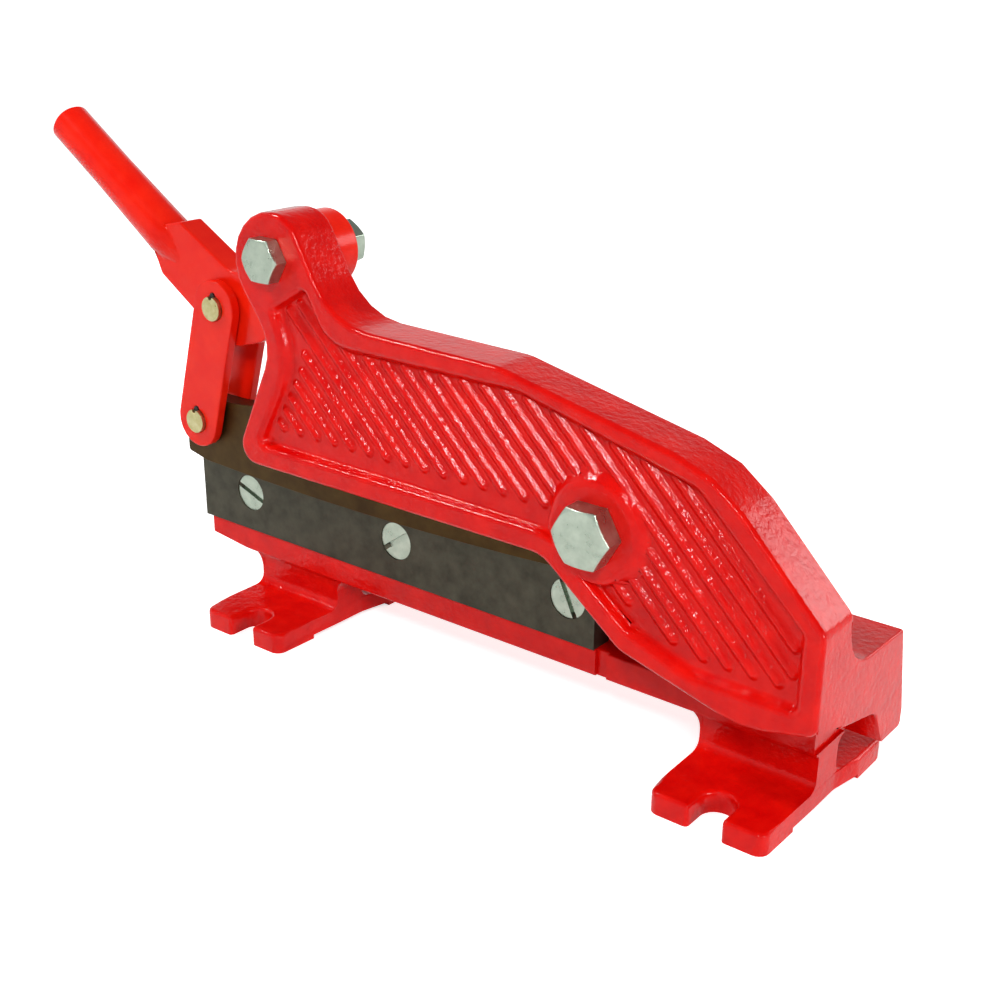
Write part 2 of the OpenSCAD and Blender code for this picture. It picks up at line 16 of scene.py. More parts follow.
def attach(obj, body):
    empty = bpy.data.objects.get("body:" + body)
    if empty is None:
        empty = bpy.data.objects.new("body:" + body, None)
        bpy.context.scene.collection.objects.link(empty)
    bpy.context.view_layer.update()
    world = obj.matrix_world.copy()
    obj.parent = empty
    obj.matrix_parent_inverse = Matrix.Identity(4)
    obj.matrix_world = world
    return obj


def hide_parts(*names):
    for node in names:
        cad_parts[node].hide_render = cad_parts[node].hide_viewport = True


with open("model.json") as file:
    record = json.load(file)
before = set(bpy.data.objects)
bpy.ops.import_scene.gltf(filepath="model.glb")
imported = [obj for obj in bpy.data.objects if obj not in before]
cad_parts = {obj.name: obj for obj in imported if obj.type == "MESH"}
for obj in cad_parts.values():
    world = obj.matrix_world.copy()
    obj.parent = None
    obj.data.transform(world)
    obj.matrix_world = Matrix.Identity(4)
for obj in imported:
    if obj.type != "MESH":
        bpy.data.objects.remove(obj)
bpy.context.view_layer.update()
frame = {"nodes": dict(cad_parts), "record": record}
nodes = frame["nodes"]
MM = 0.001
print("solids loaded:", len(nodes))

# %% [markdown]
# ## The camera
# The photograph was taken from above the bench and from the front right corner. The camera's place was
# worked out from points whose real positions are known, such as bolt centres and blade corners. A camera
# can be aimed with a constraint, but a plain rotation from three angles keeps them readable.

# %% Camera
CAMERA_PLACE = Vector((356.955, -471.765, 326.15)) * MM
CAMERA_AZIMUTH = math.radians(37.797)
CAMERA_ELEVATION = math.radians(21.522)
CAMERA_ROLL = math.radians(0.601)
CAMERA_LENS = 51.17
SENSOR_WIDTH = 36
NEAREST_SEEN = 0.01


def camera_turn(azimuth, elevation, roll):
    """Rotation of a camera that looks at the object from an azimuth and an elevation, with a small roll."""
    level = math.cos(elevation)
    back = Vector((math.sin(azimuth) * level, -math.cos(azimuth) * level, math.sin(elevation)))
    side = Vector((math.cos(azimuth), math.sin(azimuth), 0))
    up = back.cross(side)
    rolled_side = side * math.cos(roll) + up * math.sin(roll)
    rolled_up = up * math.cos(roll) - side * math.sin(roll)
    return Matrix((rolled_side, rolled_up, back)).transposed()


camera_data = bpy.data.cameras.new("photo_camera")
camera_data.lens = CAMERA_LENS
camera_data.sensor_width = SENSOR_WIDTH
camera_data.clip_start = NEAREST_SEEN
camera = bpy.data.objects.new("photo_camera", camera_data)
camera.matrix_world = Matrix.Translation(CAMERA_PLACE) @ camera_turn(
    CAMERA_AZIMUTH, CAMERA_ELEVATION, CAMERA_ROLL
).to_4x4()
bpy.context.scene.collection.objects.link(camera)
bpy.context.scene.camera = camera
print("camera at", [round(v, 3) for v in camera.location])

# %% [markdown]
# ## Uneven skin, shared by all finishes
# Paint over a casting is never flat: it has a fine orange peel and a slow swell below it. Ground steel has
# fine scratches. Both are noise at two scales, so one node group makes them, and each finish gives its own
# scales and amounts. A group can be placed in many materials, and a change to it reaches all of them.

# %% Node helpers


def add_node(tree, kind, place, **settings):
    """Add a node at a place in a tree and set some of its properties."""
    node = tree.nodes.new(kind)
    node.location = place
    for name, value in settings.items():
        setattr(node, name, value)
    return node


def set_inputs(node, **values):
    """Set a node's input sockets, named with underscores for spaces."""
    for name, value in values.items():
        node.inputs[name.replace("_", " ")].default_value = value


# %% Uneven skin group


def make_uneven_skin():
    """Group with two scales of noise: a height for bumps and a slow mottle from 0 to 1."""
    group = bpy.data.node_groups.new("uneven_skin", "ShaderNodeTree")
    for name in ("Fine Scale", "Slow Scale", "Fine Share"):
        group.interface.new_socket(name, in_out="INPUT", socket_type="NodeSocketFloat")
    group.interface.new_socket("Stretch", in_out="INPUT", socket_type="NodeSocketVector")
    for name in ("Height", "Mottle"):
        group.interface.new_socket(name, in_out="OUTPUT", socket_type="NodeSocketFloat")
    inlet = add_node(group, "NodeGroupInput", (-900, 0))
    outlet = add_node(group, "NodeGroupOutput", (500, 0))
    place = add_node(group, "ShaderNodeTexCoord", (-900, 250))
    stretch = add_node(group, "ShaderNodeVectorMath", (-650, 200), operation="MULTIPLY")
    fine = add_node(group, "ShaderNodeTexNoise", (-400, 200))
    set_inputs(fine, Detail=3.0, Roughness=0.55)
    slow = add_node(group, "ShaderNodeTexNoise", (-400, -150))
    set_inputs(slow, Detail=4.0, Roughness=0.6)
    blend = add_node(group, "ShaderNodeMix", (0, 100), data_type="FLOAT")
    spread = add_node(group, "ShaderNodeMapRange", (0, -200))
    set_inputs(spread, From_Min=0.3, From_Max=0.7)
    links = group.links
    links.new(place.outputs["Object"], stretch.inputs[0])
    links.new(inlet.outputs["Stretch"], stretch.inputs[1])
    links.new(stretch.outputs["Vector"], fine.inputs["Vector"])
    links.new(place.outputs["Object"], slow.inputs["Vector"])
    links.new(inlet.outputs["Fine Scale"], fine.inputs["Scale"])
    links.new(inlet.outputs["Slow Scale"], slow.inputs["Scale"])
    links.new(inlet.outputs["Fine Share"], blend.inputs[0])
    links.new(slow.outputs["Fac"], blend.inputs[2])
    links.new(fine.outputs["Fac"], blend.inputs[3])
    links.new(slow.outputs["Fac"], spread.inputs["Value"])
    links.new(blend.outputs[0], outlet.inputs["Height"])
    links.new(spread.outputs["Result"], outlet.inputs["Mottle"])
    return group


uneven_skin = make_uneven_skin()
print("node group:", uneven_skin.name)

# %% [markdown]
# ## Finishes
# Each finish is a Principled shader. Its colour and roughness swing a little between two values with the slow
# mottle, and its bumps come from the height. A clear coat could give the paint its gloss, but a low roughness
# does it with one layer. Worked steel is rougher, and its scratches are the same noise, stretched.

# %% Finish maker
SPECULAR_LEVEL = 0.18


def make_finish(name, colours, roughness, scales, bump, fine_share=0.6, stretch=(1, 1, 1), metallic=0.0):
    """Material whose colour and roughness swing between two values and whose bumps follow the uneven skin."""
    finish = bpy.data.materials.new(name)
    finish.use_nodes = True
    tree = finish.node_tree
    shader = tree.nodes["Principled BSDF"]
    shader.inputs["Metallic"].default_value = metallic
    shader.inputs["Specular IOR Level"].default_value = SPECULAR_LEVEL
    skin = add_node(tree, "ShaderNodeGroup", (-900, 0), node_tree=uneven_skin)
    set_inputs(skin, Fine_Scale=scales[0], Slow_Scale=scales[1], Fine_Share=fine_share, Stretch=stretch)
    tint = add_node(tree, "ShaderNodeMix", (-500, 200), data_type="RGBA")
    tint.inputs[6].default_value = (*colours[0], 1)
    tint.inputs[7].default_value = (*colours[1], 1)
    gloss = add_node(tree, "ShaderNodeMapRange", (-500, -50))
    set_inputs(gloss, To_Min=roughness[0], To_Max=roughness[1])
    relief = add_node(tree, "ShaderNodeBump", (-500, -350))
    set_inputs(relief, Strength=bump[0], Distance=bump[1] * MM)
    links = tree.links
    links.new(skin.outputs["Mottle"], tint.inputs[0])
    links.new(skin.outputs["Mottle"], gloss.inputs["Value"])
    links.new(skin.outputs["Height"], relief.inputs["Height"])
    links.new(tint.outputs[2], shader.inputs["Base Color"])
    links.new(gloss.outputs["Result"], shader.inputs["Roughness"])
    links.new(relief.outputs["Normal"], shader.inputs["Normal"])
    return finish


# %% Finishes of the shear
finishes = {
    "red_casting": make_finish(
        "red_casting",
        colours=((0.57, 0.001, 0.001), (0.72, 0.005, 0.002)),
        roughness=(0.08, 0.18),
        scales=(380, 90),
        bump=(0.6, 0.8),
    ),
    "red_steel": make_finish(
        "red_steel",
        colours=((0.76, 0.006, 0.001), (0.84, 0.016, 0.003)),
        roughness=(0.14, 0.24),
        scales=(300, 60),
        bump=(0.12, 0.3),
    ),
    "blade_steel": make_finish(
        "blade_steel",
        colours=((0.040, 0.038, 0.026), (0.085, 0.080, 0.058)),
        roughness=(0.42, 0.6),
        scales=(900, 110),
        bump=(0.12, 0.2),
        stretch=(0.25, 1, 1),
        metallic=0.75,
    ),
    "tinted_steel": make_finish(
        "tinted_steel",
        colours=((0.036, 0.017, 0.003), (0.074, 0.042, 0.010)),
        roughness=(0.34, 0.5),
        scales=(700, 70),
        bump=(0.10, 0.2),
        stretch=(1, 1, 0.2),
        metallic=0.75,
    ),
    "zinc": make_finish(
        "zinc",
        colours=((0.31, 0.37, 0.30), (0.45, 0.52, 0.43)),
        roughness=(0.24, 0.4),
        scales=(700, 160),
        bump=(0.12, 0.15),
        metallic=0.95,
    ),
    "yellow_zinc": make_finish(
        "yellow_zinc",
        colours=((0.36, 0.31, 0.12), (0.56, 0.53, 0.30)),
        roughness=(0.25, 0.42),
        scales=(900, 200),
        bump=(0.12, 0.15),
        metallic=0.95,
    ),
    "black_steel": make_finish(
        "black_steel",
        colours=((0.02, 0.02, 0.02), (0.06, 0.06, 0.055)),
        roughness=(0.35, 0.5),
        scales=(900, 200),
        bump=(0.1, 0.1),
        metallic=0.8,
    ),
}
slot_of = {subpart["node"]: subpart["material_slot"] for subpart in frame["record"]["subparts"]}
body_of = {name: body for body, names in frame["record"]["behaviour"]["bodies"].items() for name in names}
for name, slot in slot_of.items():
    nodes[name].data.materials.clear()
    nodes[name].data.materials.append(finishes[slot])
print("finishes:", len(finishes))

# %% [markdown]
# ## Soft cast edges
# A casting has no sharp edge: the sand mould rounds it, and paint fills its corners. A Bevel modifier could
# round every edge by the same width, but here the arm's rim is softer than the rest. So a copy of the solid
# is joined into clean faces, and its edges are rounded in groups, each with its own width.

# %% Copy a solid into clean faces
MERGE_DISTANCE = 0.005 * MM
FLAT_ANGLE = math.radians(0.5)
SHARP_ANGLE = 40
SMOOTH_BELOW = math.radians(50)


def merged_copy(name):
    """Mesh of a solid with the corners of its triangles joined."""
    mesh = bmesh.new()
    mesh.from_mesh(nodes[name].data)
    bmesh.ops.remove_doubles(mesh, verts=mesh.verts, dist=MERGE_DISTANCE)
    return mesh


def join_flat_faces(mesh):
    """Join the triangles of each flat face."""
    bmesh.ops.dissolve_limit(mesh, angle_limit=FLAT_ANGLE, verts=mesh.verts, edges=mesh.edges)


def sharp_edges(mesh, least_angle=SHARP_ANGLE):
    """Edges between two faces that meet at more than an angle, in degrees."""
    limit = math.radians(least_angle)
    return [edge for edge in mesh.edges if edge.is_manifold and edge.calc_face_angle() > limit]


def round_edges(mesh, edges, width, segments=3):
    """Round some edges of a mesh by a width in millimetres."""
    bmesh.ops.bevel(
        mesh,
        geom=edges,
        offset=width * MM,
        offset_type="OFFSET",
        segments=segments,
        profile=0.5,
        affect="EDGES",
        clamp_overlap=False,
        loop_slide=True,
    )


def shade_by_angle(mesh):
    """Shade a mesh smooth, apart from edges where two faces meet at a wide angle."""
    mesh.normal_update()
    for edge in mesh.edges:
        edge.smooth = edge.is_manifold and edge.calc_face_angle() < SMOOTH_BELOW
    for face in mesh.faces:
        face.smooth = True


def finish_piece(name, mesh, replaced):
    """Turn a mesh into a piece that stands for a solid, rides on its body and takes its finish."""
    slot = slot_of[replaced]
    data = bpy.data.meshes.new(name)
    shade_by_angle(mesh)
    mesh.to_mesh(data)
    mesh.free()
    data.materials.append(finishes[slot])
    piece = bpy.data.objects.new(name, data)
    bpy.context.scene.collection.objects.link(piece)
    even = piece.modifiers.new("even_shading", "WEIGHTED_NORMAL")
    even.keep_sharp = True
    even.weight = 100
    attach(piece, body_of[replaced])
    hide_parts(replaced)
    print(name, "faces:", len(data.polygons))


# %% [markdown]
# ## The casting
# The front of the arm is a shallow pocket with ribs on its floor. The ribs could be rounded where they are,
# but bevels of so many short edges would run into each other. So the pocket gets its floor back as one plain
# face here, and its ribs are made anew below, with soft sides.

# %% Plain pocket floor
ARM_FRONT = -46.65 * MM
ARM_REAR = -22.65 * MM
POCKET_FLOOR = -41.65 * MM
RIB_TOP = -43.95 * MM
LOWEST_RIB = 45 * MM
NEAR = 0.02 * MM

casting_mesh = merged_copy("frame")
ribbed_faces = [
    face
    for face in casting_mesh.faces
    if all(RIB_TOP < corner.co.y < POCKET_FLOOR + NEAR and corner.co.z > LOWEST_RIB for corner in face.verts)
]
bmesh.ops.delete(casting_mesh, geom=ribbed_faces, context="FACES")
for corner in casting_mesh.verts:
    if corner.is_boundary:
        corner.co.y = POCKET_FLOOR
bmesh.ops.remove_doubles(casting_mesh, verts=[v for v in casting_mesh.verts if v.is_boundary], dist=NEAR)
pocket_loop = [edge for edge in casting_mesh.edges if edge.is_boundary]
bmesh.ops.contextual_create(casting_mesh, geom=pocket_loop)
join_flat_faces(casting_mesh)
bmesh.ops.recalc_face_normals(casting_mesh, faces=casting_mesh.faces)
print("pocket loop:", len(pocket_loop))

# %% [markdown]
# ## Sloping walls
# A pattern comes out of its sand mould only if its walls lean, so the pocket is narrower at its floor than at
# its mouth, and the boss round the pivot bolt is wider at the floor than at its face. Scaling the floor could
# lean the walls, but by a different amount at each place. Here each corner of the floor moves square to
# the outline, and less where the outline is tight, so that the floor never crosses itself.

# %% Sloping pocket walls
WALL_LEAN = 2.375 * MM
SHARP_TURN = math.radians(40)
TIP_TAPER = 0.3
TIP_REACH = 8 * MM
BOSS_EDGE = 22.375 * MM
FLAT_TURN = math.radians(1)
ROUNDING_ROOM = 1.8 * MM

hinge_places = {
    joint["name"]: Vector((joint["pos_m"][0], joint["pos_m"][2]))
    for joint in frame["record"]["behaviour"]["joints"]
}
PIVOT = hinge_places["blade_swing"]


def directions(loop):
    """Directions of a face's side before one of its corners and of the side after it."""
    before = loop.vert.co - loop.link_loop_prev.vert.co
    after = loop.link_loop_next.vert.co - loop.vert.co
    return before.normalized(), after.normalized()


def turn_at(loop):
    """Angle by which a face's outline turns at one of its corners."""
    before, after = directions(loop)
    return before.angle(after)


def turns_inward(loop):
    """True where a face's outline turns to its inside."""
    before, after = directions(loop)
    return before.cross(after).dot(loop.face.normal) > 0


def room_at(loop):
    """How far a corner of the floor can move inward before its rounded corner closes up."""
    turn = turn_at(loop)
    if turn < FLAT_TURN or not turns_inward(loop):
        return WALL_LEAN
    shorter = min(loop.edge.calc_length(), loop.link_loop_prev.edge.calc_length())
    return max(0, shorter / turn - ROUNDING_ROOM)


def flat_distance(corner, place):
    """Distance along the arm's front between a corner and a place."""
    return Vector((corner.co.x - place.x, corner.co.z - place.z)).length


def below_mouth(corner):
    """True for a corner of the floor with a corner of the pocket's mouth straight in front of it."""
    others = [edge.other_vert(corner) for edge in corner.link_edges]
    return any(abs(v.co.y - ARM_FRONT) < NEAR and flat_distance(v, corner.co) < NEAR for v in others)


def from_boss(corner):
    """Flat vector from the pivot to a corner."""
    return Vector((corner.co.x - PIVOT.x, 0, corner.co.z - PIVOT.y))


def on_boss(corner):
    """True for a corner on the wall of the boss round the pivot bolt."""
    return abs(from_boss(corner).length - BOSS_EDGE) < NEAR


def reach_at(corner, tips):
    """How far a corner moves: nothing close to a tip of the outline, and the whole lean away from it."""
    spare = min(flat_distance(corner, tip) for tip in tips) - TIP_REACH
    return min(WALL_LEAN, max(0, TIP_TAPER * spare))


def slope_walls(mesh, face):
    """Move the floor's corners inward where there is room, and lean the boss's wall towards the pivot."""
    tips = [loop.vert.co.copy() for loop in face.loops if turn_at(loop) > SHARP_TURN]
    moves = []
    for loop in face.loops:
        before, after = directions(loop)
        corner = loop.vert
        reach = reach_at(corner, tips)
        if on_boss(corner):
            moves.append((corner, from_boss(corner).normalized() * reach))
        elif below_mouth(corner):
            inward = face.normal.cross(before + after).normalized()
            room = min(room_at(near) for near in (loop.link_loop_prev, loop, loop.link_loop_next))
            moves.append((corner, inward * min(reach, room)))
    for corner in mesh.verts:
        if abs(corner.co.y - ARM_FRONT) < NEAR and on_boss(corner):
            reach = reach_at(corner, tips)
            moves.append((corner, from_boss(corner).normalized() * -reach))
    for corner, move in moves:
        corner.co += move
    print("wall corners:", len(face.loops), "moves:", len(moves), "tips:", len(tips))


floor_faces = [
    face
    for face in casting_mesh.faces
    if all(abs(corner.co.y - POCKET_FLOOR) < NEAR for corner in face.verts)
]
slope_walls(casting_mesh, max(floor_faces, key=lambda face: face.calc_area()))
casting_mesh.normal_update()
open_edges = [edge for edge in casting_mesh.edges if not edge.is_manifold]
print("open edges:", len(open_edges))

# %% [markdown]
# ## Rounded edges of the casting
# The rim is the softest edge, then the feet, the pocket's corners and the back of the arm. Edges round the
# bolt holes and the screws stay sharp, because other pieces seat there. A bevel weight on each edge could
# give the widths to one modifier, but a rule for each group is easier to read and to change.

# %% Groups of edges
DEPTH = 1
HEIGHT = 2
BOLT_HOLE_REACH = 10 * MM
BOLT_CENTRES = (hinge_places["lever_swing"], PIVOT)
SCREW_REACH = 12 * MM
SCREW_HEIGHT = 59.9
FIRST_SCREW = -162.1
SCREW_PITCH = 100
SCREW_COUNT = 3
SCREW_CENTRES = [
    Vector((FIRST_SCREW + index * SCREW_PITCH, SCREW_HEIGHT)) * MM for index in range(SCREW_COUNT)
]
WEB_TOP = 30 * MM
RIM_REAR = -43 * MM
FOOT_TOP = 10 * MM
WEB_REACH = 15 * MM


def at_level(edge, axis, level):
    """True where both ends of an edge lie at a level along an axis."""
    return all(abs(end.co[axis] - level) < NEAR for end in edge.verts)


def near_any(edge, centres, reach):
    """True for an edge whose middle, seen from the front, lies within reach of one of some centres."""
    middle = (edge.verts[0].co + edge.verts[1].co) / 2
    return any((Vector((middle.x, middle.z)) - centre).length < reach for centre in centres)


def at_bolt_hole(edge):
    """True for an edge of a bolt hole."""
    return near_any(edge, BOLT_CENTRES, BOLT_HOLE_REACH)


def beside_web(edge):
    """True for an edge of a foot next to the web that it carries."""
    return any(abs(end.co.y) < WEB_REACH for end in edge.verts)


def on_foot(edge):
    """True for an edge round the top of a foot, or an upright edge below it."""
    low = all(end.co.z < FOOT_TOP + NEAR for end in edge.verts)
    rise = abs(edge.verts[0].co.z - edge.verts[1].co.z)
    return at_level(edge, HEIGHT, FOOT_TOP) or (low and rise > FOOT_TOP / 2)


def left_sharp(edge):
    """True for an edge that the last bevel leaves alone: on the rim, feet and webs, and round the holes."""
    at_rim = min(end.co.y for end in edge.verts) < RIM_REAR
    at_web = min(end.co.z for end in edge.verts) < WEB_TOP
    return at_rim or at_web or at_bolt_hole(edge) or near_any(edge, SCREW_CENTRES, SCREW_REACH)


def on_pocket_wall(edge):
    """True for an edge of the pocket's floor along its wall."""
    return at_level(edge, DEPTH, POCKET_FLOOR) and any(
        abs(corner.co.y - ARM_FRONT) < NEAR for face in edge.link_faces for corner in face.verts
    )


# %% Casting
SLOPED_ANGLE = 25
RIM_WIDTH = 2.3
FLOOR_WIDTH = 1.6
FOOT_WIDTH = 2
BACK_WIDTH = 1.2
OTHER_WIDTH = 1

sharp = sharp_edges(casting_mesh, least_angle=SLOPED_ANGLE)
rim = [edge for edge in sharp if at_level(edge, DEPTH, ARM_FRONT) and not at_bolt_hole(edge)]
floor_corner = [edge for edge in sharp if on_pocket_wall(edge)]
round_edges(casting_mesh, rim, RIM_WIDTH, segments=5)
round_edges(casting_mesh, floor_corner, FLOOR_WIDTH, segments=4)
feet = [edge for edge in sharp_edges(casting_mesh) if on_foot(edge) and not beside_web(edge)]
round_edges(casting_mesh, feet, FOOT_WIDTH)
rear_edges = [edge for edge in sharp_edges(casting_mesh) if at_level(edge, DEPTH, ARM_REAR)]
back = [edge for edge in rear_edges if not at_bolt_hole(edge)]
round_edges(casting_mesh, back, BACK_WIDTH)
others = [edge for edge in sharp_edges(casting_mesh) if not left_sharp(edge)]
round_edges(casting_mesh, others, OTHER_WIDTH, segments=2)
print("rounded edges:", len(rim), len(floor_corner), len(feet), len(back), len(others))
finish_piece("casting", casting_mesh, "frame")

# %% [markdown]
# ## Fillets under the bed
# Where the end of a web meets the bed's underside, the casting has a rounded inner corner. A bevel of that
# inner edge could make it, but the edge runs into other edges at both ends. A small piece with a hollow
# quarter round fills the corner instead, sunk a little into both faces.

# %% Fillets
WEB_ENDS = ((105.25, -1), (-105.25, 1), (-159.25, -1))
BED_BOTTOM = 26.8
FILLET_RADIUS = 7
FILLET_FRONT = -9
FILLET_REAR = 9.5
FILLET_STEPS = 8
FILLET_SINK = 1


def make_fillets():
    """Piece with a rounded corner between the bed's underside and each open end of a web."""
    mesh = bmesh.new()
    for end_x, side in WEB_ENDS:
        inside_web = end_x - side * FILLET_SINK
        inside_bed = BED_BOTTOM + FILLET_SINK
        outline = [(inside_web, inside_bed), (end_x + side * FILLET_RADIUS, inside_bed)]
        for step in range(FILLET_STEPS + 1):
            angle = math.pi / 2 * (1 - step / FILLET_STEPS)
            reach = FILLET_RADIUS * (1 - math.cos(angle))
            drop = FILLET_RADIUS * (1 - math.sin(angle))
            outline.append((end_x + side * reach, BED_BOTTOM - drop))
        outline.append((inside_web, BED_BOTTOM - FILLET_RADIUS))
        front = [mesh.verts.new(Vector((x, FILLET_FRONT, z)) * MM) for x, z in outline]
        face = mesh.faces.new(front)
        grown = bmesh.ops.extrude_face_region(mesh, geom=[face])["geom"]
        rear = [corner for corner in grown if isinstance(corner, bmesh.types.BMVert)]
        bmesh.ops.translate(mesh, vec=Vector((0, FILLET_REAR - FILLET_FRONT, 0)) * MM, verts=rear)
    bmesh.ops.recalc_face_normals(mesh, faces=mesh.faces)
    data = bpy.data.meshes.new("fillets")
    shade_by_angle(mesh)
    mesh.to_mesh(data)
    mesh.free()
    data.materials.append(finishes["red_casting"])
    fillets = bpy.data.objects.new("fillets", data)
    bpy.context.scene.collection.objects.link(fillets)
    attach(fillets, "frame")
    return fillets


fillets = make_fillets()
print("fillet faces:", len(fillets.data.polygons))

# %% [markdown]
# ## The ribs
# The arm's pocket is filled with ribs that slope at 45 degrees, evenly spaced, and each runs as far as the
# pocket leaves room. The rule gives one line per rib. Geometry Nodes then turns every line into a ridge:
# a raised-cosine profile is swept along it, and a dome of the same profile rounds each end. Instances would
# be lighter to store than real faces, but a finished piece needs its own mesh, so the tree makes them real.

# %% Rib lines
RIB_COUNT = 23
RIB_PITCH = 7.55 * MM
FIRST_RIB = 13 * MM
RIB_ZONE = [
    Vector(corner) * MM
    for corner in (
        (-106, 116),
        (60.8, 116),
        (84.8, 87.5),
        (96.8, 79),
        (118, 72),
        (160, 72),
        (160, 96),
        (117.5, 139),
        (33.3, 159),
        (-64, 159),
        (-82, 180.5),
        (-97, 171.5),
        (-85.5, 150.8),
    )
]


def rib_span(level):
    """First and last x where the sloping line x + z = level crosses the rib zone."""
    crossings = []
    for start, end in zip(RIB_ZONE, RIB_ZONE[1:] + RIB_ZONE[:1]):
        before = start.x + start.y - level
        after = end.x + end.y - level
        if before * after < 0:
            crossings.append(start.x + (end.x - start.x) * before / (before - after))
    return min(crossings), max(crossings)


def make_rib_lines():
    """Mesh with one line for each rib, on the pocket's floor."""
    mesh = bmesh.new()
    for index in range(RIB_COUNT):
        level = FIRST_RIB + index * RIB_PITCH * math.sqrt(2)
        ends = [mesh.verts.new((x, POCKET_FLOOR + NEAR, level - x)) for x in rib_span(level)]
        mesh.edges.new(ends)
    data = bpy.data.meshes.new("rib_lines")
    mesh.to_mesh(data)
    mesh.free()
    return data


rib_lines = make_rib_lines()
print("rib lines:", len(rib_lines.edges))

# %% Rib tree
PROFILE_POINTS = 15
DOME_SIDES = 32
DOME_RINGS = 8


def add_bell(tree, place, distance, height):
    """Nodes for a raised cosine: the full height at distance 0 and none at distance 1."""
    turn = add_node(tree, "ShaderNodeMath", place, operation="MULTIPLY")
    turn.inputs[1].default_value = math.pi
    wave = add_node(tree, "ShaderNodeMath", (place[0] + 200, place[1]), operation="COSINE")
    lift = add_node(tree, "ShaderNodeMath", (place[0] + 400, place[1]), operation="MULTIPLY_ADD")
    lift.inputs[1].default_value = 0.5
    lift.inputs[2].default_value = 0.5
    bell = add_node(tree, "ShaderNodeMath", (place[0] + 600, place[1]), operation="MULTIPLY")
    tree.links.new(distance, turn.inputs[0])
    tree.links.new(turn.outputs[0], wave.inputs[0])
    tree.links.new(wave.outputs[0], lift.inputs[0])
    tree.links.new(lift.outputs[0], bell.inputs[0])
    tree.links.new(height, bell.inputs[1])
    return bell.outputs[0]


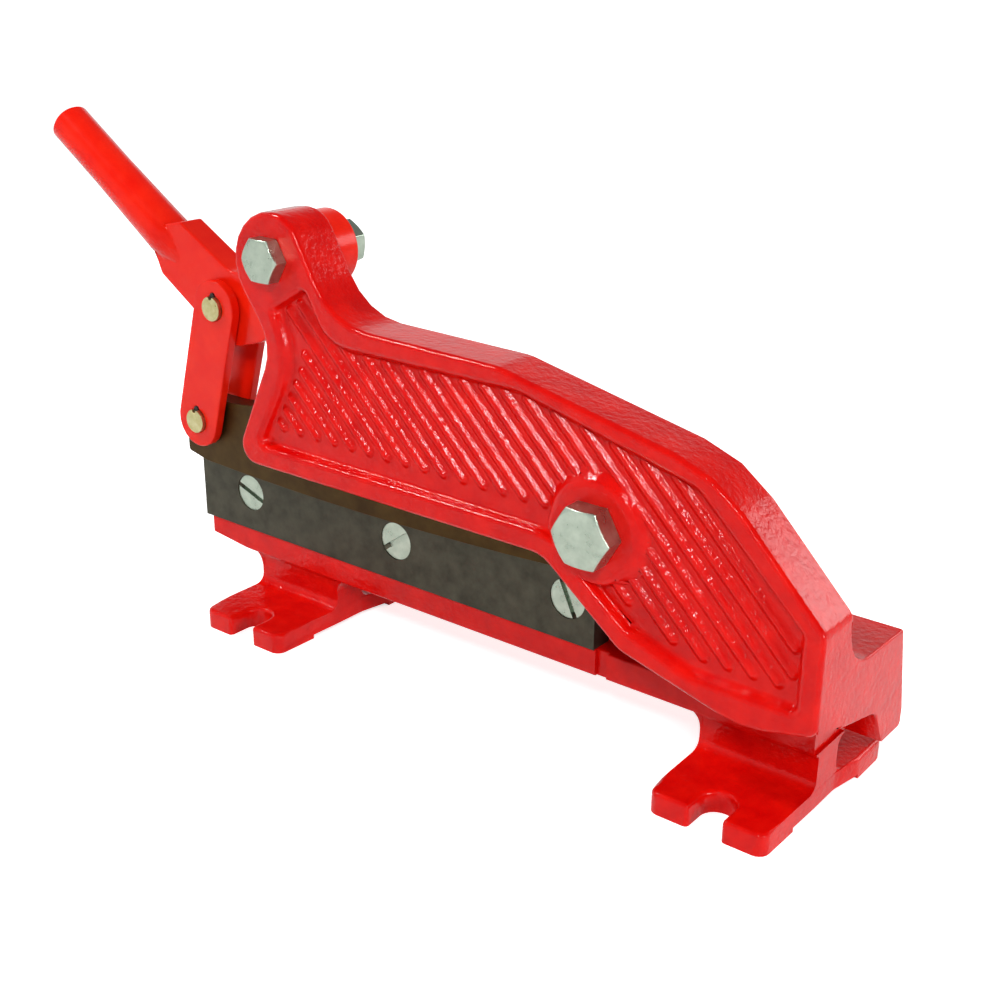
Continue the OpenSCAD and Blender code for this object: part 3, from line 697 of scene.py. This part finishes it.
def make_rib_tree():
    """Tree that turns each line of a mesh into a ridge with a soft profile and round ends."""
    tree = bpy.data.node_groups.new("soft_ribs", "GeometryNodeTree")
    tree.interface.new_socket("Lines", in_out="INPUT", socket_type="NodeSocketGeometry")
    tree.interface.new_socket("Half Width", in_out="INPUT", socket_type="NodeSocketFloat")
    tree.interface.new_socket("Height", in_out="INPUT", socket_type="NodeSocketFloat")
    tree.interface.new_socket("Finish", in_out="INPUT", socket_type="NodeSocketMaterial")
    tree.interface.new_socket("Ribs", in_out="OUTPUT", socket_type="NodeSocketGeometry")
    inlet = add_node(tree, "NodeGroupInput", (-1600, 0))
    outlet = add_node(tree, "NodeGroupOutput", (1200, 0))
    half_width = inlet.outputs["Half Width"]
    height = inlet.outputs["Height"]
    links = tree.links

    path = add_node(tree, "GeometryNodeMeshToCurve", (-600, 300))
    upright = add_node(tree, "GeometryNodeSetCurveNormal", (-400, 300), mode="Z_UP")
    across = add_node(tree, "GeometryNodeCurvePrimitiveLine", (-1400, -100))
    set_inputs(across, Start=(0, -1, 0), End=(0, 1, 0))
    points = add_node(tree, "GeometryNodeResampleCurve", (-1200, -100))
    points.inputs["Count"].default_value = PROFILE_POINTS
    spot = add_node(tree, "GeometryNodeInputPosition", (-1600, -300))
    axes = add_node(tree, "ShaderNodeSeparateXYZ", (-1400, -300))
    profile_bell = add_bell(tree, (-1200, -300), axes.outputs["Y"], height)
    reach = add_node(tree, "ShaderNodeMath", (-800, -500), operation="MULTIPLY")
    profile_place = add_node(tree, "ShaderNodeCombineXYZ", (-400, -300))
    profile = add_node(tree, "GeometryNodeSetPosition", (-200, -100))
    ridge = add_node(tree, "GeometryNodeCurveToMesh", (100, 200))

    disc = add_node(tree, "GeometryNodeMeshCone", (-1400, -800), fill_type="NONE")
    set_inputs(disc, Vertices=DOME_SIDES, Side_Segments=DOME_RINGS, Radius_Top=0, Radius_Bottom=1, Depth=0)
    radius = add_node(tree, "ShaderNodeVectorMath", (-1400, -1100), operation="LENGTH")
    dome_bell = add_bell(tree, (-1200, -1100), radius.outputs["Value"], height)
    wide = add_node(tree, "ShaderNodeVectorMath", (-800, -1300), operation="SCALE")
    dome_axes = add_node(tree, "ShaderNodeSeparateXYZ", (-600, -1300))
    dome_place = add_node(tree, "ShaderNodeCombineXYZ", (-400, -1100))
    dome = add_node(tree, "GeometryNodeSetPosition", (-200, -800))
    ends = add_node(tree, "GeometryNodeInstanceOnPoints", (100, -300))
    ends.inputs["Rotation"].default_value = (math.pi / 2, 0, 0)

    together = add_node(tree, "GeometryNodeJoinGeometry", (400, 0))
    real = add_node(tree, "GeometryNodeRealizeInstances", (600, 0))
    smooth = add_node(tree, "GeometryNodeSetShadeSmooth", (800, 0))
    painted = add_node(tree, "GeometryNodeSetMaterial", (1000, 0))

    links.new(inlet.outputs["Lines"], path.inputs["Mesh"])
    links.new(path.outputs["Curve"], upright.inputs["Curve"])
    links.new(across.outputs["Curve"], points.inputs["Curve"])
    links.new(spot.outputs["Position"], axes.inputs["Vector"])
    links.new(axes.outputs["Y"], reach.inputs[0])
    links.new(half_width, reach.inputs[1])
    links.new(profile_bell, profile_place.inputs["X"])
    links.new(reach.outputs[0], profile_place.inputs["Y"])
    links.new(points.outputs["Curve"], profile.inputs["Geometry"])
    links.new(profile_place.outputs["Vector"], profile.inputs["Position"])
    links.new(upright.outputs["Curve"], ridge.inputs["Curve"])
    links.new(profile.outputs["Geometry"], ridge.inputs["Profile Curve"])

    links.new(spot.outputs["Position"], radius.inputs[0])
    links.new(spot.outputs["Position"], wide.inputs[0])
    links.new(half_width, wide.inputs["Scale"])
    links.new(wide.outputs["Vector"], dome_axes.inputs["Vector"])
    links.new(dome_axes.outputs["X"], dome_place.inputs["X"])
    links.new(dome_axes.outputs["Y"], dome_place.inputs["Y"])
    links.new(dome_bell, dome_place.inputs["Z"])
    links.new(disc.outputs["Mesh"], dome.inputs["Geometry"])
    links.new(dome_place.outputs["Vector"], dome.inputs["Position"])
    links.new(inlet.outputs["Lines"], ends.inputs["Points"])
    links.new(dome.outputs["Geometry"], ends.inputs["Instance"])

    links.new(ridge.outputs["Mesh"], together.inputs["Geometry"])
    links.new(ends.outputs["Instances"], together.inputs["Geometry"])
    links.new(together.outputs["Geometry"], real.inputs["Geometry"])
    links.new(real.outputs["Geometry"], smooth.inputs["Geometry"])
    links.new(smooth.outputs["Geometry"], painted.inputs["Geometry"])
    links.new(inlet.outputs["Finish"], painted.inputs["Material"])
    links.new(painted.outputs["Geometry"], outlet.inputs["Ribs"])
    return tree


rib_tree = make_rib_tree()
print("rib tree nodes:", len(rib_tree.nodes))

# %% Ribs
RIB_HALF_WIDTH = 3.2 * MM
RIB_HEIGHT = 2.1 * MM


def set_modifier_input(modifier, name, value):
    """Find an input of a Geometry Nodes modifier by its name and set it by its identifier."""
    for item in modifier.node_group.interface.items_tree:
        if item.item_type == "SOCKET" and item.in_out == "INPUT" and item.name == name:
            modifier[item.identifier] = value


def make_ribs():
    """Piece with the real mesh of all ribs, facing out of the pocket."""
    source = bpy.data.objects.new("rib_source", rib_lines)
    bpy.context.scene.collection.objects.link(source)
    modifier = source.modifiers.new("soft_ribs", "NODES")
    modifier.node_group = rib_tree
    set_modifier_input(modifier, "Half Width", RIB_HALF_WIDTH)
    set_modifier_input(modifier, "Height", RIB_HEIGHT)
    set_modifier_input(modifier, "Finish", finishes["red_casting"])
    graph = bpy.context.evaluated_depsgraph_get()
    data = bpy.data.meshes.new_from_object(source.evaluated_get(graph))
    bpy.data.objects.remove(source)
    mesh = bmesh.new()
    mesh.from_mesh(data)
    bmesh.ops.reverse_faces(mesh, faces=[face for face in mesh.faces if face.normal.y > 0])
    mesh.to_mesh(data)
    mesh.free()
    data.name = "ribs"
    ribs = bpy.data.objects.new("ribs", data)
    bpy.context.scene.collection.objects.link(ribs)
    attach(ribs, "frame")
    return ribs


ribs = make_ribs()
print("rib faces:", len(ribs.data.polygons))

# %% [markdown]
# ## Softened steel pieces
# Sawn and forged steel has small broken edges that catch the light. A Bevel modifier on each node would show
# them too, but the solids stay untouched here. The same copying and rounding as for the casting serves every
# such piece, with a width in millimetres for each.

# %% Softened pieces
LEVER_FRONT = -22.15 * MM
LEVER_REAR = -8.15 * MM
EDGE_WIDTHS = {
    "lever": 1.0,
    "front_link": 0.7,
    "rear_link": 0.7,
    "pivot_bolt": 0.4,
    "lever_bolt": 0.35,
    "pivot_nut": 0.35,
    "lever_nut": 0.35,
    "upper_pin": 0.35,
    "lower_pin": 0.35,
    "upper_blade": 0.2,
    "lower_blade": 0.2,
}


def on_lever_face(edge):
    """True for an edge along the front or the rear face of the lever's plate."""
    return at_level(edge, DEPTH, LEVER_FRONT) or at_level(edge, DEPTH, LEVER_REAR)


for name, width in EDGE_WIDTHS.items():
    piece_mesh = merged_copy(name)
    join_flat_faces(piece_mesh)
    edges = sharp_edges(piece_mesh)
    if name == "lever":
        edges = [edge for edge in edges if on_lever_face(edge)]
    round_edges(piece_mesh, edges, width)
    finish_piece("soft_" + name, piece_mesh, name)

# %% [markdown]
# ## Studio
# The photograph has a plain white background and soft light from above and from the front. A bright white
# world would flood the object with light, so Light Path tells the rays apart: the world is white where the
# camera or a reflection sees it, and dimmer as a source of light. A white floor catches a faint shadow.

# %% Floor
FLOOR_SIZE = 80.0
NEAR_LIFT = 0.7
FAR_LIFT = 0.9
MIRRORED_SHARE = 0.5
SHADOW_REACH = 0.3
PLAIN_FROM = 1.5


def make_paper():
    """White paper, lifted for the camera and in reflections, but less near the object, for its shadow."""
    paper = bpy.data.materials.new("floor_paper")
    paper.use_nodes = True
    tree = paper.node_tree
    shader = tree.nodes["Principled BSDF"]
    shader.inputs["Base Color"].default_value = (0.9, 0.9, 0.9, 1)
    shader.inputs["Roughness"].default_value = 0.9
    shader.inputs["Specular IOR Level"].default_value = 0.0
    shader.inputs["Emission Color"].default_value = (1, 1, 1, 1)
    rays = add_node(tree, "ShaderNodeLightPath", (-1100, 0))
    mirrored = add_node(tree, "ShaderNodeMath", (-900, -150), operation="MULTIPLY")
    mirrored.inputs[1].default_value = MIRRORED_SHARE
    seen = add_node(tree, "ShaderNodeMath", (-650, 0), operation="MAXIMUM")
    clear = add_node(tree, "ShaderNodeMath", (-450, 0), operation="MAXIMUM")
    place = add_node(tree, "ShaderNodeTexCoord", (-900, -350))
    distance = add_node(tree, "ShaderNodeVectorMath", (-650, -350), operation="LENGTH")
    lift = add_node(tree, "ShaderNodeMapRange", (-450, -350))
    set_inputs(lift, From_Min=SHADOW_REACH, From_Max=PLAIN_FROM, To_Min=NEAR_LIFT, To_Max=FAR_LIFT)
    strength = add_node(tree, "ShaderNodeMath", (-200, 0), operation="MULTIPLY")
    links = tree.links
    links.new(rays.outputs["Is Glossy Ray"], mirrored.inputs[0])
    links.new(rays.outputs["Is Camera Ray"], seen.inputs[0])
    links.new(mirrored.outputs[0], seen.inputs[1])
    links.new(seen.outputs[0], clear.inputs[0])
    links.new(rays.outputs["Is Transmission Ray"], clear.inputs[1])
    links.new(place.outputs["Object"], distance.inputs[0])
    links.new(distance.outputs["Value"], lift.inputs["Value"])
    links.new(clear.outputs[0], strength.inputs[0])
    links.new(lift.outputs["Result"], strength.inputs[1])
    links.new(strength.outputs[0], shader.inputs["Emission Strength"])
    return paper


def make_floor():
    """Wide white floor under the feet."""
    mesh = bmesh.new()
    bmesh.ops.create_grid(mesh, x_segments=1, y_segments=1, size=FLOOR_SIZE / 2)
    data = bpy.data.meshes.new("floor")
    mesh.to_mesh(data)
    mesh.free()
    data.materials.append(make_paper())
    floor = bpy.data.objects.new("floor", data)
    bpy.context.scene.collection.objects.link(floor)


make_floor()
print("floor size:", FLOOR_SIZE)

# %% World
WORLD_LIGHT = 0.23
CEILING_STARTS = 0.35
CEILING_FULL = 0.6


def make_world():
    """White world for the camera, and in reflections up to the ceiling, which is as dim as the light."""
    world = bpy.data.worlds.new("studio")
    bpy.context.scene.world = world
    world.use_nodes = True
    tree = world.node_tree
    background = tree.nodes["Background"]
    background.inputs["Color"].default_value = (1, 1, 1, 1)
    rays = add_node(tree, "ShaderNodeLightPath", (-1100, 0))
    direction = add_node(tree, "ShaderNodeTexCoord", (-1300, -300))
    axes = add_node(tree, "ShaderNodeSeparateXYZ", (-1100, -300))
    backdrop = add_node(tree, "ShaderNodeMapRange", (-900, -300))
    set_inputs(backdrop, From_Min=CEILING_FULL, From_Max=CEILING_STARTS)
    mirrored = add_node(tree, "ShaderNodeMath", (-700, -200), operation="MULTIPLY")
    seen = add_node(tree, "ShaderNodeMath", (-700, 0), operation="MAXIMUM")
    white = add_node(tree, "ShaderNodeMath", (-450, 0), operation="MAXIMUM")
    strength = add_node(tree, "ShaderNodeMapRange", (-250, 0))
    set_inputs(strength, To_Min=WORLD_LIGHT, To_Max=1.0)
    links = tree.links
    links.new(direction.outputs["Generated"], axes.inputs["Vector"])
    links.new(axes.outputs["Z"], backdrop.inputs["Value"])
    links.new(backdrop.outputs["Result"], mirrored.inputs[0])
    links.new(rays.outputs["Is Glossy Ray"], mirrored.inputs[1])
    links.new(rays.outputs["Is Camera Ray"], seen.inputs[0])
    links.new(rays.outputs["Is Transmission Ray"], seen.inputs[1])
    links.new(seen.outputs[0], white.inputs[0])
    links.new(mirrored.outputs[0], white.inputs[1])
    links.new(white.outputs[0], strength.inputs["Value"])
    links.new(strength.outputs["Result"], background.inputs["Strength"])


make_world()
print("world light:", WORLD_LIGHT)

# %% Lamps
OBJECT_MIDDLE = Vector((0.0, -0.01, 0.1))


def add_softbox(name, place, size, power):
    """Square area lamp that faces the object, with its size in metres and its power in watts."""
    data = bpy.data.lights.new(name, "AREA")
    data.size = size
    data.energy = power
    lamp = bpy.data.objects.new(name, data)
    lamp.location = place
    lamp.rotation_euler = (OBJECT_MIDDLE - Vector(place)).to_track_quat("-Z", "Y").to_euler()
    bpy.context.scene.collection.objects.link(lamp)


add_softbox("key_softbox", place=(0.75, -1.35, 1.25), size=0.22, power=15)
add_softbox("edge_softbox", place=(-0.85, -0.53, 1.15), size=0.16, power=10)
add_softbox("side_softbox", place=(1.6, -0.35, 0.45), size=0.3, power=10)
add_softbox("back_softbox", place=(1.0, 1.4, 0.7), size=0.6, power=7)
bpy.context.scene.view_settings.view_transform = "Standard"
print("lamps:", len(bpy.data.lights))
